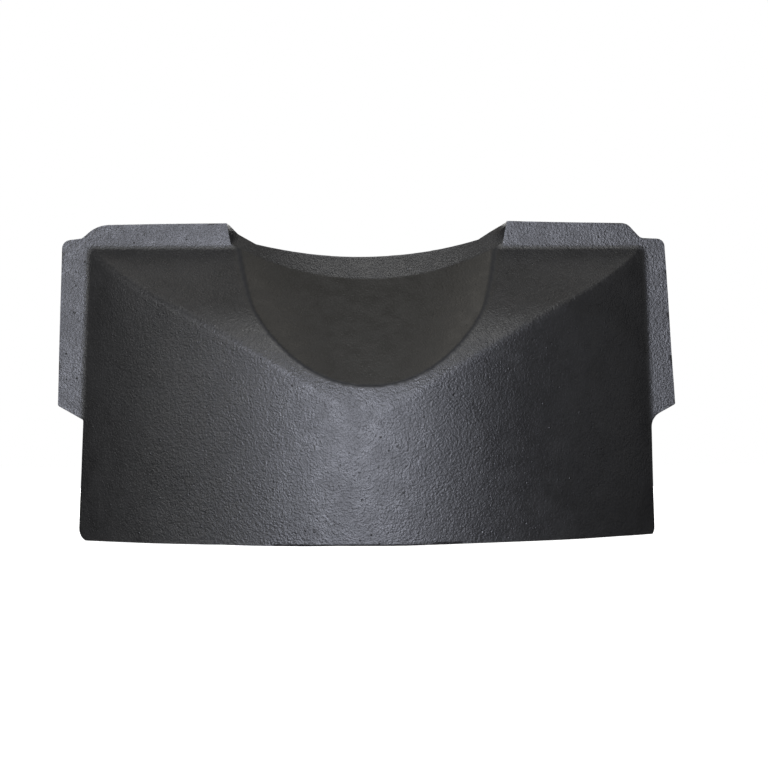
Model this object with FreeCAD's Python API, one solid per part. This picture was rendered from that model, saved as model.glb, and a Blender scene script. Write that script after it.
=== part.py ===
"""Throat plate of a solid-fuel stove: one hollow iron casting, open at the back and below.

Millimetres, +Z up, +X along the width. The hood bulges towards -Y and the flat flange is at +Y.
The origin is at the middle of the footprint, at the height of the bottom edge.
"Depth" below is measured forwards, towards -Y, from the flange's front face.
"""

import FreeCAD, Part
import math
import os

# Overall
FLANGE_THICKNESS = 8.0
HOOD_DEPTH = 66.0
WALL = 6.0
HEIGHT = 177.0  # at the notch's right corner
TOP_AT_LEFT = 176.0
TOP_AT_RIGHT = 175.8

# Hood: a curved front, the same arc at every height, that widens a little downwards
ROOF_TOP = 162.0  # height where the roof meets the flange
HALF_WIDTH_AT_ROOF_TOP = 154.0
HALF_WIDTH_AT_BOTTOM = 159.4
BACK_RIM = 5.5  # width of the ground rim that the side walls leave at the back
BOTTOM_CORNER_RADIUS = 6.5

# Roof: a straight slope that runs into the front over a brow of this radius
ROOF_SLOPE_DEG = 41.6
BROW_RADIUS = 88.0

# Trough for the flue outlet: an oblique cone whose sections parallel to the flange are circles
TROUGH_RADIUS_AT_FLANGE = 155.0
TROUGH_RADIUS_AT_FRONT = 72.0
TROUGH_BOTTOM_AT_FLANGE = 144.7
TROUGH_BOTTOM_AT_FRONT = 81.1
TROUGH_X_AT_FRONT = 0.9  # the trough runs a little askew: it is central at the flange
TROUGH_WALL = 8.0  # measured in a section, which makes it WALL across the sloping wall

# Notch in the flange, from the trough's circle at the front to a shallower outline at the back
NOTCH_HALF_WIDTH = 78.1  # at the top of the flange
NOTCH_KNEE_AT_FRONT = (75.5, 164.2)  # half width and height, between the top and the circle
NOTCH_LEFT_AT_BACK = [(-72.0, 170.8), (-62.0, 165.1)]  # (x, z) of its knee and of its curve's end
NOTCH_BOTTOM_AT_BACK = (-2.0, 158.1)
NOTCH_RIGHT_AT_BACK = [(62.5, 167.5), (69.2, 171.8)]

# Flange and lug outline as (x, z, corner radius), anticlockwise seen from the front
LEFT_SIDE = [
    (-149.5, 175.0, 18.0),
    (-158.2, 167.6, 2.0),
    (-169.2, 166.2, 5.0),
    (-171.3, 74.6, 1.5),
    (-157.3, 66.6, 1.0),
]
RIGHT_SIDE = [
    (158.0, 67.4, 9.0),
    (171.3, 74.8, 1.0),
    (165.9, 167.0, 4.5),
    (152.6, 167.6, 4.0),
    (145.0, TOP_AT_RIGHT, 7.0),
    (NOTCH_HALF_WIDTH, HEIGHT, 0.0),
    (-NOTCH_HALF_WIDTH, TOP_AT_LEFT, 0.0),
]
PLATE_FOOT = 50.0  # the plate with the lugs starts at this height, inside the hood's sides

ROOF_ROOT_FILLET = 3.0  # in the corner between the roof and the flange

# Construction
REACH = 20.0  # how far a cutting tool runs past what it cuts
SPAN = 400.0  # width of a tool that cuts right across the part
TOLERANCE = 0.01

BACK_Y = (HOOD_DEPTH + FLANGE_THICKNESS) / 2.0
FLANGE_Y = BACK_Y - FLANGE_THICKNESS
FRONT_Y = FLANGE_Y - HOOD_DEPTH


def point(x, y, z):
    return FreeCAD.Vector(x, y, z)


def segment(a, b):
    return Part.LineSegment(a, b).toShape()


def arc(a, middle, b):
    return Part.Arc(a, middle, b).toShape()


def half_width(z):
    """Half the hood's width in the flange's front plane, at height z."""
    flare = (HALF_WIDTH_AT_BOTTOM - HALF_WIDTH_AT_ROOF_TOP) / ROOF_TOP
    return HALF_WIDTH_AT_BOTTOM - flare * z


def rounded_wire(corners, y):
    """A closed wire in the plane y through (x, z, radius) corners, each rounded by its radius."""
    starts, arcs, ends = [], [], []
    for i, (x, z, radius) in enumerate(corners):
        here = point(x, y, z)
        before = point(corners[i - 1][0], y, corners[i - 1][1])
        after = point(corners[(i + 1) % len(corners)][0], y, corners[(i + 1) % len(corners)][1])
        to_before = (before - here).normalize()
        to_after = (after - here).normalize()
        half_angle = to_before.getAngle(to_after) / 2.0
        setback = radius / math.tan(half_angle)
        bisector = (to_before + to_after).normalize()
        middle = here + bisector * (radius / math.sin(half_angle) - radius)
        starts.append(here + to_before * setback)
        ends.append(here + to_after * setback)
        arcs.append(middle)
    edges = []
    for i in range(len(corners)):
        if corners[i][2] > 0:
            edges.append(arc(starts[i], arcs[i], ends[i]))
        edges.append(segment(ends[i], starts[(i + 1) % len(corners)]))
    return Part.Wire(edges)


def prism(wire, direction):
    return Part.Face(wire).extrude(direction)


def plan_wire(z, side_x, side_y, front_y):
    """The hood seen from above at height z: an arc over the front, closed behind the flange."""
    left, right = point(-side_x, side_y, z), point(side_x, side_y, z)
    far_left, far_right = point(-side_x, BACK_Y + REACH, z), point(side_x, BACK_Y + REACH, z)
    return Part.Wire(
        [
            arc(left, point(0, front_y, z), right),
            segment(right, far_right),
            segment(far_right, far_left),
            segment(far_left, left),
        ]
    )


def plan_solid(inner):
    """The hood's plan through its whole height; inner gives the inside of its walls."""
    wires = []
    for z in (-REACH, HEIGHT + REACH):
        if inner:
            wires.append(plan_wire(z, half_width(z) - BACK_RIM, BACK_Y, FRONT_Y + WALL))
        else:
            wires.append(plan_wire(z, half_width(z), FLANGE_Y, FRONT_Y))
    return Part.makeLoft(wires, True, True)


def side_profile(offset):
    """The hood from the side, front and roof moved in by offset, as a prism across the width."""
    slope = math.radians(ROOF_SLOPE_DEG)
    centre_depth = HOOD_DEPTH - BROW_RADIUS
    centre_z = ROOF_TOP - (BROW_RADIUS + centre_depth * math.sin(slope)) / math.cos(slope)
    radius = BROW_RADIUS - offset

    def on_brow(angle):
        depth = centre_depth + radius * math.cos(angle)
        return point(-SPAN / 2.0, FLANGE_Y - depth, centre_z + radius * math.sin(angle))

    steep = math.pi / 2.0 - slope
    front, middle, brow = on_brow(0.0), on_brow(steep / 2.0), on_brow(steep)
    run = BACK_Y + REACH - brow.y
    roof_end = point(brow.x, brow.y + run, brow.z + run * math.tan(slope))
    foot = point(front.x, front.y, -REACH)
    back_foot = point(front.x, roof_end.y, -REACH)
    wire = Part.Wire(
        [
            segment(foot, front),
            arc(front, middle, brow),
            segment(brow, roof_end),
            segment(roof_end, back_foot),
            segment(back_foot, foot),
        ]
    )
    return prism(wire, point(SPAN, 0, 0))


def trough_circle(depth):
    """The trough's section at a depth: x and z of its centre, and its radius."""
    share = depth / HOOD_DEPTH
    radius = TROUGH_RADIUS_AT_FLANGE + share * (TROUGH_RADIUS_AT_FRONT - TROUGH_RADIUS_AT_FLANGE)
    bottom = TROUGH_BOTTOM_AT_FLANGE + share * (TROUGH_BOTTOM_AT_FRONT - TROUGH_BOTTOM_AT_FLANGE)
    return TROUGH_X_AT_FRONT * share, bottom + radius, radius


def trough_tool(wall):
    """The trough's cone, grown by wall, from in front of the hood to behind the flange."""
    rings = []
    for depth in (-FLANGE_THICKNESS - REACH, HOOD_DEPTH + REACH):
        x, z, radius = trough_circle(depth)
        ring = Part.Circle(point(x, FLANGE_Y - depth, z), point(0, -1, 0), radius + wall)
        rings.append(Part.Wire(ring.toShape()))
    return Part.makeLoft(rings, True, True)


def notch_wire(y, left, bottom, right):
    """The notch's outline at y: down its left points, an arc through its bottom, up its right points."""
    top = HEIGHT + REACH
    down = [point(x, y, z) for x, z in [(-NOTCH_HALF_WIDTH, top), (-NOTCH_HALF_WIDTH, HEIGHT)] + left]
    up = [point(x, y, z) for x, z in right + [(NOTCH_HALF_WIDTH, HEIGHT), (NOTCH_HALF_WIDTH, top)]]
    edges = [segment(a, b) for a, b in zip(down, down[1:])]
    edges.append(arc(down[-1], point(bottom[0], y, bottom[1]), up[0]))
    edges += [segment(a, b) for a, b in zip(up, up[1:])]
    edges.append(segment(up[-1], down[0]))
    return Part.Wire(edges)


def notch_tool():
    """What the notch takes out of the flange, from its front outline to its back outline."""
    x, z, radius = trough_circle(0.0)
    reach = math.sqrt(radius**2 - (z - ROOF_TOP) ** 2)
    knee_x, knee_z = NOTCH_KNEE_AT_FRONT
    left = [(-knee_x, knee_z), (x - reach, ROOF_TOP)]
    right = [(x + reach, ROOF_TOP), (knee_x, knee_z)]
    front = notch_wire(FLANGE_Y, left, (x, z - radius), right)
    back = notch_wire(BACK_Y, NOTCH_LEFT_AT_BACK, NOTCH_BOTTOM_AT_BACK, NOTCH_RIGHT_AT_BACK)
    return Part.makeLoft([front, back], True, True)


def hood_solid():
    """The hood before it is hollowed, with rounded bottom corners and a straight side band."""
    outline = [
        (-half_width(0.0), 0.0, BOTTOM_CORNER_RADIUS),
        (half_width(0.0), 0.0, BOTTOM_CORNER_RADIUS),
        (half_width(ROOF_TOP), ROOF_TOP, 0.0),
        (-half_width(ROOF_TOP), ROOF_TOP, 0.0),
    ]
    front_view = prism(rounded_wire(outline, BACK_Y), point(0, FRONT_Y - REACH - BACK_Y, 0))
    return plan_solid(False).common(side_profile(0.0)).common(front_view)


def flange_solid():
    """Top flange and both lugs, as one plate that runs into the hood's sides."""
    left_foot = (-half_width(PLATE_FOOT), PLATE_FOOT, 0.0)
    right_foot = (half_width(PLATE_FOOT), PLATE_FOOT, 0.0)
    outline = [left_foot, right_foot] + RIGHT_SIDE + LEFT_SIDE
    return prism(rounded_wire(outline, BACK_Y), point(0, -FLANGE_THICKNESS, 0))


def cavity_tool():
    """The hollow behind the hood: its inside, less the thickness of the trough's wall."""
    inside = plan_solid(True).common(side_profile(WALL))
    return inside.cut(trough_tool(TROUGH_WALL))


def front_of_flange():
    """A block in front of the flange's front face, which keeps the trough out of the notch."""
    corner = point(-SPAN / 2.0, FRONT_Y - REACH, -REACH)
    return Part.makeBox(SPAN, HOOD_DEPTH + REACH, SPAN, corner)


def roof_root_edges(body):
    """The straight edge where the roof meets the flange's front face."""
    found = []
    for edge in body.Edges:
        a, b = edge.firstVertex().Point, edge.lastVertex().Point
        at_root = all(math.hypot(p.y - FLANGE_Y, p.z - ROOF_TOP) < TOLERANCE for p in (a, b))
        if at_root and abs(a.x - b.x) > HALF_WIDTH_AT_ROOF_TOP:
            found.append(edge)
    return found


def throat_plate():
    body = hood_solid().fuse(flange_solid()).removeSplitter()
    body = body.makeFillet(ROOF_ROOT_FILLET, roof_root_edges(body))
    trough = trough_tool(0.0).common(front_of_flange())
    body = body.cut(trough).cut(notch_tool()).cut(cavity_tool())
    return body.removeSplitter()


os.makedirs("parts", exist_ok=True)
casting = throat_plate()
casting.exportStep("parts/throat_plate.step")

box = casting.optimalBoundingBox()
print("solids", len(casting.Solids), "valid", casting.isValid(), "faces", len(casting.Faces))
print("box", [round(v, 2) for v in (box.XMin, box.XMax, box.YMin, box.YMax, box.ZMin, box.ZMax)])
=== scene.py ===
import math

import bpy
import numpy as np
from mathutils import Euler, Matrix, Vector, noise


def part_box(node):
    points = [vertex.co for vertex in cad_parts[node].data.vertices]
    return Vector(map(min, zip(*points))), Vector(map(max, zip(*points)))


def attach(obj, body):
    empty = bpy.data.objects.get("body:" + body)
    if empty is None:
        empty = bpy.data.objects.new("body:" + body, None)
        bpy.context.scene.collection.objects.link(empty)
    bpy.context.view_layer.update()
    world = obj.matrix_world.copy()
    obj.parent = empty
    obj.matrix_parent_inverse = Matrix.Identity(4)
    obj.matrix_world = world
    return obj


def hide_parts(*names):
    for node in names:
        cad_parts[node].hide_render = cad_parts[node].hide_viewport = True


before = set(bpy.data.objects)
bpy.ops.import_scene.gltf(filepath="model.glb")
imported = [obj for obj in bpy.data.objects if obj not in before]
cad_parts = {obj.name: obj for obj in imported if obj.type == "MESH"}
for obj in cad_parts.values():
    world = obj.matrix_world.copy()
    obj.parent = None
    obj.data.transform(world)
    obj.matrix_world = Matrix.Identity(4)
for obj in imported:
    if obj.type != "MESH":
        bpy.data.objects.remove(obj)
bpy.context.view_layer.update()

NODE = "throat_plate"
MM = 0.001

# The casting in millimetres: x across, d forwards from the flange's front face, z up.
LOW, HIGH = (np.array(corner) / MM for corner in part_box(NODE))
FLANGE_THICKNESS = 8.0
FLANGE_Y = HIGH[1] - FLANGE_THICKNESS
HOOD_DEPTH = FLANGE_Y - LOW[1]
HEIGHT = HIGH[2]
TOP_AT_LEFT = 176.0
TOP_AT_RIGHT = 175.8
WALL = 6.0
ROOF_TOP = 162.0
HALF_WIDTH_AT_ROOF_TOP = 154.0
HALF_WIDTH_AT_BOTTOM = 159.4
BACK_RIM = 5.5
BOTTOM_CORNER_RADIUS = 6.5
ROOF_SLOPE = math.radians(41.6)
BROW_RADIUS = 88.0
TROUGH_RADIUS = (155.0, 72.0)  # at the flange, at the front of the hood
TROUGH_BOTTOM = (144.7, 81.1)
TROUGH_X_AT_FRONT = 0.9
TROUGH_WALL = 8.0
NOTCH_HALF_WIDTH = 78.1
NOTCH_KNEE_AT_FRONT = (75.5, 164.2)
NOTCH_LEFT_AT_BACK = [(-72.0, 170.8), (-62.0, 165.1)]
NOTCH_BOTTOM_AT_BACK = (-2.0, 158.1)
NOTCH_RIGHT_AT_BACK = [(62.5, 167.5), (69.2, 171.8)]

# Outline of the flange with both lugs, as (x, z, corner radius)
LEFT_SIDE = [
    (-149.5, 175.0, 18.0),
    (-158.2, 167.6, 2.0),
    (-169.2, 166.2, 5.0),
    (LOW[0], 74.6, 1.5),
    (-157.3, 66.6, 1.0),
]
RIGHT_SIDE = [
    (158.0, 67.4, 9.0),
    (HIGH[0], 74.8, 1.0),
    (165.9, 167.0, 4.5),
    (152.6, 167.6, 4.0),
    (145.0, TOP_AT_RIGHT, 7.0),
    (NOTCH_HALF_WIDTH, HEIGHT, 0.0),
    (-NOTCH_HALF_WIDTH, TOP_AT_LEFT, 0.0),
]

# How far the sand mould rounds the casting's corners
HIP_BLEND = 2.6
ROOT_BLEND = 1.4
INSIDE_BLEND = 9.0
EDGE_BLEND = 0.5
RIM_BLEND = 0.2
LEAST_BLEND = 0.02  # the least share of its size that a blend shrinks to
HIP_OPENING = 0.35  # 1 minus the cosine of the corner at which a hip is at its sharpest

# What sand casting leaves on the surface: (size of a swelling, how far it rises or sinks)
WAVES = (45.0, 0.25)
SWELLINGS = (9.0, 0.03)
LUMPS = (3.6, 0.03)
SET_BACK = 0.25  # share of its rise by which each is sunk into the metal
TROUGH_SMOOTHNESS = 0.45  # the trough's core was smoother than the mould

# The stub of the runner, knocked off the bottom edge
STUB_X = -46.0
STUB_FLAT_HALF_WIDTH = 10.0
STUB_RUN_OUT = 20.0
EDGE_LIFT = 0.4  # how far the rest of that edge stays off the ground
SHORT_FROM = 20.0  # the edge is a little short from here to its right end
SHORT_END = 2.4

# The mesh
CELL = 1.4  # size of its faces
CORNER_DAMPING = 0.01  # keeps a point amid its edge crossings where the surface is flat
CORNER_REACH = 0.8  # how far outside its cell a point may lie, in cells
SHARP_ANGLE = math.radians(32)
TROUGH_BAND = 1.5  # the trough's smoother sand and painted warm light end this far from its surface
RIM_LINE = 0.8  # half the width of the painted shadow line along the trough's rim
RIM_LINE_FADE = 0.5

# Camera
LENS = 84.4  # millimetres, as is the sensor
SENSOR_WIDTH = 36.0
CAMERA_PLACE = (-0.0052, -0.9691, 0.0538)  # metres
CAMERA_TURN = (90 + 1.86, 0.16, -0.83)  # degrees
NEAREST_SEEN = 0.01

# Light and floor
COOL = (0.93, 0.965, 1.12)
NEUTRAL = (1.0, 1.0, 0.98)
WARM = (1.04, 1.0, 0.93)
LAMPS = [
    # name, degrees around from the camera's side, degrees up, size, watts, colour, metres away
    ("key", -4, 4.5, 0.34, 13.8, COOL, 0.95),
    ("left", -50, 15, 0.5, 3.9, NEUTRAL, 1.2),
    ("far_left", -80, 10, 0.5, 0.4, NEUTRAL, 1.2),
    ("right", 80, 10, 0.5, 0.5, NEUTRAL, 1.2),
    ("right_front", 10, 10, 0.4, 0.8, COOL, 1.2),
    ("top", 0, 60, 0.5, 6.3, NEUTRAL, 1.2),
    ("over_left", -137, 57, 0.4, 0.9, WARM, 1.2),
    ("over_right", 137, 57, 0.4, 0.7, WARM, 1.2),
    ("back", 180, 8, 0.9, 8.0, NEUTRAL, 1.2),
]
FLOOR_SIZE = 6.0
FLOOR_GLOW = 1.0
PAPER_GREY = (0.9, 0.9, 0.9, 1)
PAPER_WHITE = (0.93, 0.93, 0.93, 1)

# Texture of the sand, as (size in metres, share of the bump's height)
GRAIN_DEPTH = 0.00034  # depth in metres of a whole share
GRAIN = (0.00085, 0.8)
SAND = (0.0015, -0.35)
LUMPINESS = (0.0024, 0.4)
PITS = (0.0048, 0.0008, 0.4)  # spacing and radius in metres, share of the places that have one
PIT_HEIGHT = -0.6
PIMPLES = (0.0056, 0.0007, 0.35)
PIMPLE_HEIGHT = 0.9
TROUGH_FLATTENING = 0.5

# Paint
PATCH_SIZE = 0.03  # metres, as are the next three
SPECK_SIZE = 0.0009
EDGE_HIGHLIGHT_PATCH_SIZE = 0.004
SHEEN_SIZE = 0.008
# Shares of the painted warm light in the trough, of the painted shade in the pits and along the rim, and
# of the grey specks
TROUGH_WARM_LIGHT_SHARE, PIT_SHADE_SHARE, RIM_SHADE_SHARE, SPECK_TINT = 0.6, 0.3, 0.85, 0.5
# How strong the painted edge highlight is, at least and at most
LEAST_EDGE_HIGHLIGHT, MOST_EDGE_HIGHLIGHT = 0.1, 0.7
ROUGHNESS = 0.44
ROUGHNESS_SPREAD = 0.04
EDGE_HIGHLIGHT_POLISH = 0.12  # how much less rough it is where the edge highlight is painted
RIM_DULLNESS = 0.45
GLOSS = 0.5
PAINT_DARK = (0.009, 0.0087, 0.0083, 1)
PAINT_LIGHT = (0.013, 0.0126, 0.012, 1)
# A warmer, lighter paint in the trough: painted warm light
TROUGH_PAINTED_WARM_LIGHT = (0.0125, 0.0115, 0.0088, 1)
# Painted shade in the pits
PIT_PAINTED_SHADE = (0.004, 0.004, 0.004, 1)
# Painted shadow along the trough's rim
RIM_PAINTED_SHADOW = (0.0015, 0.0015, 0.0015, 1)
SPECK_GREY = (0.035, 0.033, 0.03, 1)
# A paler grey on sharp edges: a painted highlight
PAINTED_EDGE_HIGHLIGHT = (0.05, 0.049, 0.048, 1)
EDGE_FROM, EDGE_TO = 0.12, 0.45  # from where to where a ridge gets the painted highlight


def rounded(corners):
    """The closed outline through (x, z, radius) corners, each rounded by its radius."""
    points = []
    for i, (x, z, radius) in enumerate(corners):
        here = np.array((x, z))
        if radius == 0:
            points.append(here)
            continue
        to_before = np.array(corners[i - 1][:2]) - here
        to_after = np.array(corners[(i + 1) % len(corners)][:2]) - here
        to_before /= np.linalg.norm(to_before)
        to_after /= np.linalg.norm(to_after)
        half_angle = math.acos(float(to_before @ to_after)) / 2
        bisector = to_before + to_after
        centre = here + bisector / np.linalg.norm(bisector) * radius / math.sin(half_angle)
        start = here + to_before * radius / math.tan(half_angle) - centre
        end = here + to_after * radius / math.tan(half_angle) - centre
        sweep = math.atan2(start[0] * end[1] - start[1] * end[0], start @ end)
        steps = max(2, math.ceil(radius))
        for k in range(steps + 1):
            turn = sweep * k / steps
            c, s = math.cos(turn), math.sin(turn)
            points.append(centre + np.array((c * start[0] - s * start[1], s * start[0] + c * start[1])))
    return np.array(points)


def outline_distance(points, x, z):
    """Distance from (x, z) to a closed outline, negative inside it."""
    nearest = np.full(np.broadcast(x, z).shape, np.inf)
    inside = np.zeros(nearest.shape, bool)
    for (ax, az), (bx, bz) in zip(points, np.roll(points, -1, axis=0)):
        ex, ez = bx - ax, bz - az
        length = ex * ex + ez * ez
        if length < 1e-9:
            continue
        along = np.clip(((x - ax) * ex + (z - az) * ez) / length, 0, 1)
        nearest = np.minimum(nearest, (x - ax - along * ex) ** 2 + (z - az - along * ez) ** 2)
        crosses = (az > z) != (bz > z)
        if ez != 0:
            inside ^= crosses & (x < ax + (z - az) / ez * ex)
    return np.where(inside, -1, 1) * np.sqrt(nearest)


def blend_max(a, b, size):
    """The larger of a and b, rounded over where they are within size of each other."""
    overlap = np.maximum(1 - np.abs(a - b) / size, 0)
    return np.maximum(a, b) + overlap * overlap * size / 4


def blend_min(a, b, size):
    return -blend_max(-a, -b, size)


def half_width(z):
    flare = (HALF_WIDTH_AT_BOTTOM - HALF_WIDTH_AT_ROOF_TOP) / ROOF_TOP
    return HALF_WIDTH_AT_BOTTOM - flare * z


def hood_surfaces(x, d, z, inner):
    """Distances to the hood's curved front and to its roof and brow, and how sharply they meet."""
    half, side_d, offset = half_width(z), 0.0, 0.0
    if inner:
        half, side_d, offset = half - BACK_RIM, -FLANGE_THICKNESS, WALL
    rise = HOOD_DEPTH - offset - side_d
    radius = (half * half + rise * rise) / (2 * rise)
    plan_d = d - (HOOD_DEPTH - offset - radius)
    plan = np.hypot(x, plan_d) - radius

    centre_d = HOOD_DEPTH - BROW_RADIUS
    centre_z = ROOF_TOP - (BROW_RADIUS + centre_d * math.sin(ROOF_SLOPE)) / math.cos(ROOF_SLOPE)
    steep = math.pi / 2 - ROOF_SLOPE
    angle = np.arctan2(z - centre_z, d - centre_d)
    roof = d * math.sin(ROOF_SLOPE) + (z - ROOF_TOP) * math.cos(ROOF_SLOPE)
    brow = np.hypot(d - centre_d, z - centre_z) - BROW_RADIUS
    profile = np.where(z < centre_z, d - HOOD_DEPTH, np.where(angle > steep, roof, brow)) + offset

    # the corner between them opens out towards the middle, where they are one surface
    along = plan_d / np.maximum(radius, 1) * np.cos(np.clip(angle, 0, steep))
    sharpness = np.clip((1 - along) / HIP_OPENING, LEAST_BLEND, 1)
    return plan, profile, sharpness


def hood_distance(x, d, z, inner):
    """Distance to the hood, or to the inside of it."""
    plan, profile, sharpness = hood_surfaces(x, d, z, inner)
    return blend_max(plan, profile, (INSIDE_BLEND if inner else HIP_BLEND) * sharpness)


def on_hip(x, d, z):
    """Whether a point lies on the rounding between the hood's front and roof, off the trough's rim."""
    plan, profile, _ = hood_surfaces(x, d, z, False)
    near = (np.abs(plan - profile) < 2 * HIP_BLEND) & (np.maximum(plan, profile) > -HIP_BLEND)
    return near & (trough_distance(x, d, z, 0) > CELL) & (d > CELL)


def trough_circle(d):
    """The trough's section at depth d: x and z of its centre, and its radius."""
    share = d / HOOD_DEPTH
    radius = TROUGH_RADIUS[0] + share * (TROUGH_RADIUS[1] - TROUGH_RADIUS[0])
    bottom = TROUGH_BOTTOM[0] + share * (TROUGH_BOTTOM[1] - TROUGH_BOTTOM[0])
    return TROUGH_X_AT_FRONT * share, bottom + radius, radius


def trough_distance(x, d, z, wall):
    """Distance to the trough's cone, negative where the trough takes metal away."""
    centre_x, centre_z, radius = trough_circle(d)
    slant = WALL / TROUGH_WALL
    return (np.hypot(x - centre_x, z - centre_z) - radius - wall) * slant


def in_trough(x, d, z):
    """1 on the trough's surface and 0 away from it."""
    return np.clip(TROUGH_BAND - np.abs(trough_distance(x, d, z, 0)), 0, 1) * (d > 0)


def on_rim(x, d, z):
    """1 on the line where the trough meets the hood and 0 away from it."""
    apart = np.maximum(np.abs(trough_distance(x, d, z, 0)), np.abs(hood_distance(x, d, z, False)))
    return np.clip((RIM_LINE - apart) / RIM_LINE_FADE, 0, 1) * (d > 0)


def notch_outline(left, bottom, right, steps=32):
    """Down the left points, along an arc through the bottom, and up the right points."""
    (ax, az), (cx, cz) = left[-1], right[0]
    chords = np.array([(cx - ax, cz - az), (bottom[0] - ax, bottom[1] - az)])
    middle = np.linalg.solve(chords, np.sum(chords * chords, axis=1) / 2) + (ax, az)
    radius = math.hypot(ax - middle[0], az - middle[1])
    start = math.atan2(az - middle[1], ax - middle[0])
    end = math.atan2(cz - middle[1], cx - middle[0])
    angles = start + (end - start) * np.arange(1, steps) / steps
    curve = middle + radius * np.stack([np.cos(angles), np.sin(angles)], axis=1)
    top = HEIGHT + NOTCH_HALF_WIDTH
    far_left = [(-NOTCH_HALF_WIDTH, top), (-NOTCH_HALF_WIDTH, HEIGHT)]
    far_right = [(NOTCH_HALF_WIDTH, HEIGHT), (NOTCH_HALF_WIDTH, top)]
    return np.array([*far_left, *left, *curve, *right, *far_right])


def notch_at_front():
    x, z, radius = trough_circle(0.0)
    reach = math.sqrt(radius * radius - (z - ROOF_TOP) ** 2)
    knee_x, knee_z = NOTCH_KNEE_AT_FRONT
    left = [(-knee_x, knee_z), (x - reach, ROOF_TOP)]
    right = [(x + reach, ROOF_TOP), (knee_x, knee_z)]
    return notch_outline(left, (x, z - radius), right)


PLATE_OUTLINE = rounded(
    [
        (-HALF_WIDTH_AT_BOTTOM, 0.0, BOTTOM_CORNER_RADIUS),
        (HALF_WIDTH_AT_BOTTOM, 0.0, BOTTOM_CORNER_RADIUS),
        *RIGHT_SIDE,
        *LEFT_SIDE,
    ]
)
NOTCH_FRONT = notch_at_front()
NOTCH_BACK = notch_outline(NOTCH_LEFT_AT_BACK, NOTCH_BOTTOM_AT_BACK, NOTCH_RIGHT_AT_BACK)


def bottom_edge(x, d):
    """Height of the bottom edge, which the runner's stub brings down to the ground."""
    share = np.clip((STUB_FLAT_HALF_WIDTH + STUB_RUN_OUT - np.abs(x - STUB_X)) / STUB_RUN_OUT, 0, 1)
    share = share * (d > HOOD_DEPTH / 2)
    short = SHORT_END * np.clip((x - SHORT_FROM) / (HALF_WIDTH_AT_BOTTOM - SHORT_FROM), 0, 1)
    return EDGE_LIFT * (1 - share) + short


def casting(x, d, z):
    """Rough distance to the casting's surface, negative in the metal."""
    plate_outline = outline_distance(PLATE_OUTLINE, x, z)
    plate = blend_max(plate_outline, d, EDGE_BLEND)
    hood = blend_max(hood_distance(x, d, z, False), plate_outline, EDGE_BLEND)
    hood = np.maximum(hood, -d)
    overhang = np.clip(-plate_outline / ROOT_BLEND, LEAST_BLEND, 1)
    body = blend_min(hood, plate, ROOT_BLEND * overhang)
    body = blend_max(body, -FLANGE_THICKNESS - d, EDGE_BLEND)
    depth_share = np.clip(-d / FLANGE_THICKNESS, 0, 1)
    notch = outline_distance(NOTCH_FRONT, x, z) * (1 - depth_share)
    notch = notch + outline_distance(NOTCH_BACK, x, z) * depth_share
    hollow = np.where(d > 0, trough_distance(x, d, z, 0), notch)
    body = blend_max(body, -hollow, RIM_BLEND)
    inside = hood_distance(x, d, z, True)
    inside = blend_max(inside, -trough_distance(x, d, z, TROUGH_WALL), INSIDE_BLEND)
    body = blend_max(body, -inside, EDGE_BLEND)
    return blend_max(body, bottom_edge(x, d) - z, RIM_BLEND)


def slopes(field, p, reach=0.05):
    """The field's unit gradient at each point of p."""
    result = np.empty_like(p)
    for axis in range(3):
        step = np.zeros(3)
        step[axis] = reach
        result[:, axis] = field(*(p + step).T) - field(*(p - step).T)
    return result / np.maximum(np.linalg.norm(result, axis=1, keepdims=True), 1e-9)


def crossing(field, start, axis, cell, starts_in_metal, halvings=9):
    """Where the surface crosses each grid edge that runs from start along an axis."""
    point = start.copy()
    near, far = np.zeros(len(start)), np.ones(len(start))
    for _ in range(halvings):
        middle = (near + far) / 2
        point[:, axis] = start[:, axis] + cell * middle
        before = (field(*point.T) < 0) == starts_in_metal
        near = np.where(before, middle, near)
        far = np.where(before, far, middle)
    return point


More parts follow.
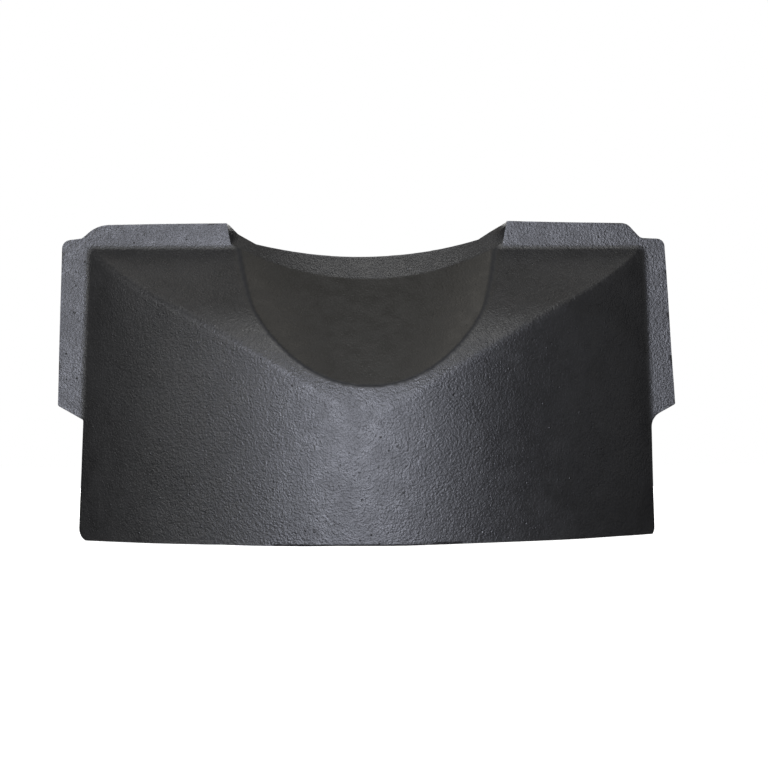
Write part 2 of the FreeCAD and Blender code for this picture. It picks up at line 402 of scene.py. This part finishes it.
def contour(field, low, high, cell):
    """A closed quad mesh on the field's zero surface, by dual contouring, so that edges stay crisp."""
    counts = np.ceil((high - low) / cell).astype(int) + 1
    x, d, z = (low[i] + cell * np.arange(counts[i]) for i in range(3))
    values = field(x[:, None, None], d[None, :, None], z[None, None, :])
    cells = counts - 1
    total = int(np.prod(cells))
    weights = np.zeros(total)
    sums = np.zeros((total, 3))
    planes = np.zeros((total, 6))
    pulls = np.zeros((total, 3))
    quads = []
    for axis in range(3):
        here = [slice(None)] * 3
        there = [slice(None)] * 3
        here[axis], there[axis] = slice(0, -1), slice(1, None)
        first, second = values[tuple(here)], values[tuple(there)]
        at = np.argwhere((first < 0) != (second < 0))
        starts_in_metal = first[tuple(at.T)] < 0
        point = crossing(field, low + cell * at, axis, cell, starts_in_metal)
        normal = slopes(field, point)
        pull = np.sum(normal * point, axis=1)
        u, v = np.eye(3, dtype=int)[(axis + 1) % 3], np.eye(3, dtype=int)[(axis + 2) % 3]
        ring = [np.ravel_multi_index((at - off).T, cells) for off in (0 * u, u, u + v, v)]
        for index in ring:
            weights += np.bincount(index, minlength=total)
            for k in range(3):
                sums[:, k] += np.bincount(index, point[:, k], total)
                pulls[:, k] += np.bincount(index, normal[:, k] * pull, total)
            for k, (i, j) in enumerate(((0, 0), (0, 1), (0, 2), (1, 1), (1, 2), (2, 2))):
                planes[:, k] += np.bincount(index, normal[:, i] * normal[:, j], total)
        ring = np.stack(ring, axis=1)
        ring[~starts_in_metal] = ring[~starts_in_metal][:, ::-1]
        quads.append(ring)
    quads = np.concatenate(quads)
    used = np.flatnonzero(weights)
    centre = sums[used] / weights[used, None]
    matrix = planes[used][:, [0, 1, 2, 1, 3, 4, 2, 4, 5]].reshape(-1, 3, 3)
    pull = pulls[used] - np.einsum("nij,nj->ni", matrix, centre)
    damping = CORNER_DAMPING * weights[used, None, None] * np.eye(3)
    offset = np.linalg.solve(matrix + damping, pull[..., None])[..., 0]
    corner = low + cell * np.stack(np.unravel_index(used, cells), axis=1)
    reach = CORNER_REACH * cell
    vertices = np.clip(centre + offset, corner - reach, corner + cell + reach)
    renumber = np.zeros(total, int)
    renumber[used] = np.arange(len(used))
    return vertices, renumber[quads]


def to_frame(p):
    """From (x, d, z) in millimetres to the row's frame in metres."""
    return np.stack([p[:, 0], FLANGE_Y - p[:, 1], p[:, 2]], axis=1) * MM


def swelling(p, size):
    """Smooth noise between about -1 and 1 whose swellings are about size across."""
    return np.array([noise.noise(q) for q in (p / size).tolist()])


def roughen(vertices, normals):
    """Move the smooth casting's points in and out as moulding sand does."""
    share = 1 - in_trough(*vertices.T) * (1 - TROUGH_SMOOTHNESS)
    rise = np.zeros(len(vertices))
    for size, height in (WAVES, SWELLINGS, LUMPS):
        rise += height * (swelling(vertices, size) - SET_BACK)
    return vertices + normals * (rise * share)[:, None]


def edge_ends(mesh):
    ends = np.empty(2 * len(mesh.edges), int)
    mesh.edges.foreach_get("vertices", ends)
    return ends.reshape(-1, 2)


def edge_sharpness(mesh, normals):
    """How far each point stands out from the points around it: 1 on a sharp ridge, 0 on a flat."""
    ends = edge_ends(mesh)
    points = np.empty(3 * len(mesh.vertices))
    mesh.vertices.foreach_get("co", points)
    points = points.reshape(-1, 3)
    apart = points[ends[:, 1]] - points[ends[:, 0]]
    length = np.linalg.norm(apart, axis=1)
    total = np.zeros(len(points))
    for end, sign in ((0, -1), (1, 1)):
        drop = sign * np.sum(apart * normals[ends[:, end]], axis=1) / np.maximum(length, 1e-9)
        total += np.bincount(ends[:, end], drop, len(points))
    return total / np.bincount(ends.ravel(), minlength=len(points))


def smooth_edges(mesh, points):
    """Shade the edges that touch these points smoothly, whatever their angle."""
    sharp = np.empty(len(mesh.edges), bool)
    attribute = mesh.attributes["sharp_edge"]
    attribute.data.foreach_get("value", sharp)
    ends = edge_ends(mesh)
    sharp &= ~(points[ends[:, 0]] | points[ends[:, 1]])
    attribute.data.foreach_set("value", sharp)


def vertex_normals(mesh):
    normals = np.empty(3 * len(mesh.vertices))
    mesh.vertices.foreach_get("normal", normals)
    return normals.reshape(-1, 3)


def add_attribute(mesh, name, values):
    attribute = mesh.attributes.new(name, "FLOAT", "POINT")
    attribute.data.foreach_set("value", values.astype(np.float32))


def build_casting():
    margin = 1.5 * CELL
    low = np.array((LOW[0], -FLANGE_THICKNESS, 0.0)) - margin
    high = np.array((HIGH[0], HOOD_DEPTH, HEIGHT)) + margin
    vertices, quads = contour(casting, low, high, CELL)
    mesh = bpy.data.meshes.new("throat_plate_casting")
    mesh.from_pydata(to_frame(vertices).tolist(), [], quads[:, ::-1].tolist())
    mesh.update()
    normals = vertex_normals(mesh)
    add_attribute(mesh, "edge", edge_sharpness(mesh, normals))
    add_attribute(mesh, "trough", in_trough(*vertices.T))
    add_attribute(mesh, "rim", on_rim(*vertices.T))
    hips = on_hip(*vertices.T)
    vertices = roughen(vertices, normals * (1, -1, 1))
    vertices = np.clip(vertices, (LOW[0], -FLANGE_THICKNESS, 0), (HIGH[0], HOOD_DEPTH, HEIGHT))
    mesh.vertices.foreach_set("co", to_frame(vertices).ravel())
    mesh.update()
    mesh.shade_smooth()
    mesh.set_sharp_from_angle(angle=SHARP_ANGLE)
    smooth_edges(mesh, hips)
    piece = bpy.data.objects.new("throat_plate_casting", mesh)
    bpy.context.scene.collection.objects.link(piece)
    return piece


def add_softbox(name, around, up, size, power, colour, away):
    """A square lamp aimed at the part, degrees around from the camera's side and degrees up."""
    target = Vector((0, LOW[1] * MM, HEIGHT * MM / 2))
    turn = Euler((math.radians(-up), 0, math.radians(around)))
    data = bpy.data.lights.new(name, "AREA")
    data.shape = "SQUARE"
    data.size = size
    data.energy = power
    data.color = colour
    light = bpy.data.objects.new(name, data)
    light.location = target + turn.to_matrix() @ Vector((0, -away, 0))
    light.rotation_euler = (target - light.location).to_track_quat("-Z", "Y").to_euler()
    light.visible_camera = False
    bpy.context.scene.collection.objects.link(light)


def add_camera():
    data = bpy.data.cameras.new("camera")
    data.lens = LENS
    data.sensor_width = SENSOR_WIDTH
    data.clip_start = NEAREST_SEEN
    camera = bpy.data.objects.new("camera", data)
    camera.location = CAMERA_PLACE
    camera.rotation_mode = "XYZ"
    camera.rotation_euler = Euler([math.radians(turn) for turn in CAMERA_TURN])
    bpy.context.scene.collection.objects.link(camera)
    bpy.context.scene.camera = camera


class Nodes:
    """A material's node tree, with short ways to add what this script uses."""

    def __init__(self, name):
        self.material = bpy.data.materials.new(name)
        self.material.use_nodes = True
        self.tree = self.material.node_tree
        self.shader = self.tree.nodes["Principled BSDF"]

    def add(self, kind, inputs=None, **settings):
        node = self.tree.nodes.new(kind)
        for key, value in settings.items():
            setattr(node, key, value)
        for key, value in (inputs or {}).items():
            self.put(node.inputs[key], value)
        return node

    def put(self, socket, value):
        if isinstance(value, bpy.types.NodeSocket):
            self.tree.links.new(value, socket)
        else:
            socket.default_value = value

    def math(self, operation, a, b=0.0, c=0.0):
        return self.add("ShaderNodeMath", {0: a, 1: b, 2: c}, operation=operation).outputs[0]

    def ramp(self, value, low, high, to_low=0.0, to_high=1.0):
        """value, from low..high to to_low..to_high, smooth and clamped."""
        inputs = {"Value": value, "From Min": low, "From Max": high, "To Min": to_low, "To Max": to_high}
        return self.add("ShaderNodeMapRange", inputs, interpolation_type="SMOOTHSTEP").outputs["Result"]

    def mix(self, share, a, b):
        inputs = {"Factor": share, "A": a, "B": b}
        node = self.add("ShaderNodeMix", None, data_type="RGBA")
        for socket in node.inputs:
            if socket.name in inputs and socket.type in ("RGBA", "VALUE") and socket.enabled:
                self.put(socket, inputs[socket.name])
        return next(out for out in node.outputs if out.type == "RGBA")

    def place(self):
        return self.add("ShaderNodeTexCoord").outputs["Object"]

    def noise(self, size, detail=2.0, roughness=0.5, distortion=0.0):
        """Smooth noise, 0 to 1, with swellings about size metres across."""
        inputs = {
            "Vector": self.place(),
            "Scale": 1 / size,
            "Detail": detail,
            "Roughness": roughness,
            "Distortion": distortion,
        }
        return self.add("ShaderNodeTexNoise", inputs).outputs["Fac"]

    def grains(self, spacing):
        """0 in the middle of each sand grain, rising towards its neighbours."""
        inputs = {"Vector": self.place(), "Scale": 1 / spacing}
        return self.add("ShaderNodeTexVoronoi", inputs).outputs["Distance"]

    def spots(self, spacing, radius, share):
        """Round spots of a radius, in about this share of the cells of a loose grid."""
        cells = self.add("ShaderNodeTexVoronoi", {"Vector": self.place(), "Scale": 1 / spacing})
        chance = self.add("ShaderNodeSeparateColor", {"Color": cells.outputs["Color"]}).outputs["Red"]
        chosen = self.math("LESS_THAN", chance, share)
        near = self.ramp(cells.outputs["Distance"], 0.0, radius / spacing, 1.0, 0.0)
        return self.math("MULTIPLY", near, chosen)

    def attribute(self, name):
        return self.add("ShaderNodeAttribute", attribute_name=name).outputs["Fac"]


def sand_bump(nodes, trough, pits):
    """The height of sand grains, lumps, pits and pimples, flatter in the trough."""
    grain = nodes.noise(GRAIN[0], detail=2.0, roughness=0.6)
    sand = nodes.grains(SAND[0])
    lumps = nodes.noise(LUMPINESS[0], detail=1.0)
    pimples = nodes.spots(*PIMPLES)
    height = nodes.math("MULTIPLY_ADD", grain, GRAIN[1], nodes.math("MULTIPLY", lumps, LUMPINESS[1]))
    height = nodes.math("MULTIPLY_ADD", sand, SAND[1], height)
    height = nodes.math("MULTIPLY_ADD", pits, PIT_HEIGHT, height)
    height = nodes.math("MULTIPLY_ADD", pimples, PIMPLE_HEIGHT, height)
    strength = nodes.math("MULTIPLY_ADD", trough, -TROUGH_FLATTENING, 1.0)
    inputs = {"Strength": strength, "Distance": GRAIN_DEPTH, "Height": height}
    return nodes.add("ShaderNodeBump", inputs).outputs["Normal"]


def iron_colour(nodes, trough, pits, edge_highlight, rim):
    """Uneven black paint with specks; painted shade in the pits and along the trough's rim, painted warm
    light in the trough, and a painted highlight on the edges.
    """
    patches = nodes.ramp(nodes.noise(PATCH_SIZE, detail=4.0, roughness=0.65), 0.35, 0.65)
    colour = nodes.mix(patches, PAINT_DARK, PAINT_LIGHT)
    # painted warm light in the trough
    colour = nodes.mix(nodes.math("MULTIPLY", trough, TROUGH_WARM_LIGHT_SHARE), colour, TROUGH_PAINTED_WARM_LIGHT)
    # painted shade in the pits
    colour = nodes.mix(nodes.math("MULTIPLY", pits, PIT_SHADE_SHARE), colour, PIT_PAINTED_SHADE)
    speck = nodes.ramp(nodes.noise(SPECK_SIZE, detail=1.0), 0.68, 0.78, 0.0, SPECK_TINT)
    colour = nodes.mix(speck, colour, SPECK_GREY)
    # painted highlight along sharp edges
    colour = nodes.mix(edge_highlight, colour, PAINTED_EDGE_HIGHLIGHT)
    # painted shadow line where the trough meets the hood
    return nodes.mix(nodes.math("MULTIPLY", rim, RIM_SHADE_SHARE), colour, RIM_PAINTED_SHADOW)


def painted_iron():
    """Matt black stove paint over sand-cast iron, with a painted highlight on the corners."""
    nodes = Nodes("matt_stove_paint")
    trough = nodes.attribute("trough")
    rim = nodes.attribute("rim")
    pits = nodes.spots(*PITS)
    sharp = nodes.ramp(nodes.attribute("edge"), EDGE_FROM, EDGE_TO)
    sharp = nodes.math("MULTIPLY", sharp, nodes.math("SUBTRACT", 1.0, rim))
    # patchy painted highlight along sharp edges, none on the rim
    highlight_patches = nodes.ramp(nodes.noise(EDGE_HIGHLIGHT_PATCH_SIZE), 0.4, 0.65, LEAST_EDGE_HIGHLIGHT, MOST_EDGE_HIGHLIGHT)
    edge_highlight = nodes.math("MULTIPLY", sharp, highlight_patches)
    nodes.put(nodes.shader.inputs["Base Color"], iron_colour(nodes, trough, pits, edge_highlight, rim))

    smoothest, dullest = ROUGHNESS - ROUGHNESS_SPREAD, ROUGHNESS + ROUGHNESS_SPREAD
    dull = nodes.ramp(nodes.noise(SHEEN_SIZE, detail=3.0), 0.3, 0.7, smoothest, dullest)
    dull = nodes.math("MULTIPLY_ADD", edge_highlight, -EDGE_HIGHLIGHT_POLISH, dull)
    dull = nodes.math("MULTIPLY_ADD", rim, RIM_DULLNESS, dull)
    nodes.put(nodes.shader.inputs["Roughness"], dull)
    nodes.put(nodes.shader.inputs["Normal"], sand_bump(nodes, trough, pits))
    nodes.shader.inputs["Specular IOR Level"].default_value = GLOSS
    return nodes.material


def floor_paper():
    """Plain white paper, lit from below like a light table, faintly mottled."""
    nodes = Nodes("floor")
    shade = nodes.ramp(nodes.noise(0.2, detail=3.0), 0.3, 0.7)
    nodes.put(nodes.shader.inputs["Base Color"], nodes.mix(shade, PAPER_GREY, PAPER_WHITE))
    nodes.shader.inputs["Roughness"].default_value = 0.9
    nodes.shader.inputs["Specular IOR Level"].default_value = 0.2
    nodes.shader.inputs["Emission Color"].default_value = (1, 1, 1, 1)
    nodes.shader.inputs["Emission Strength"].default_value = FLOOR_GLOW
    return nodes.material


def add_floor():
    bpy.ops.mesh.primitive_plane_add(size=FLOOR_SIZE)
    floor = bpy.context.object
    floor.name = "floor"
    floor.data.materials.append(floor_paper())
    floor.visible_diffuse = False
    floor.visible_glossy = False


def add_surroundings():
    """A plain white studio, which the lamps light and which doesn't light the part itself."""
    world = bpy.data.worlds.new("world")
    bpy.context.scene.world = world
    world.use_nodes = True
    world.node_tree.nodes["Background"].inputs["Color"].default_value = (1, 1, 1, 1)
    world.cycles_visibility.diffuse = False
    world.cycles_visibility.glossy = False
    bpy.context.scene.view_settings.view_transform = "Standard"


piece = build_casting()
piece.data.materials.append(painted_iron())
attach(piece, "root")
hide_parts(NODE)

add_floor()
add_surroundings()
for lamp in LAMPS:
    add_softbox(*lamp)
add_camera()
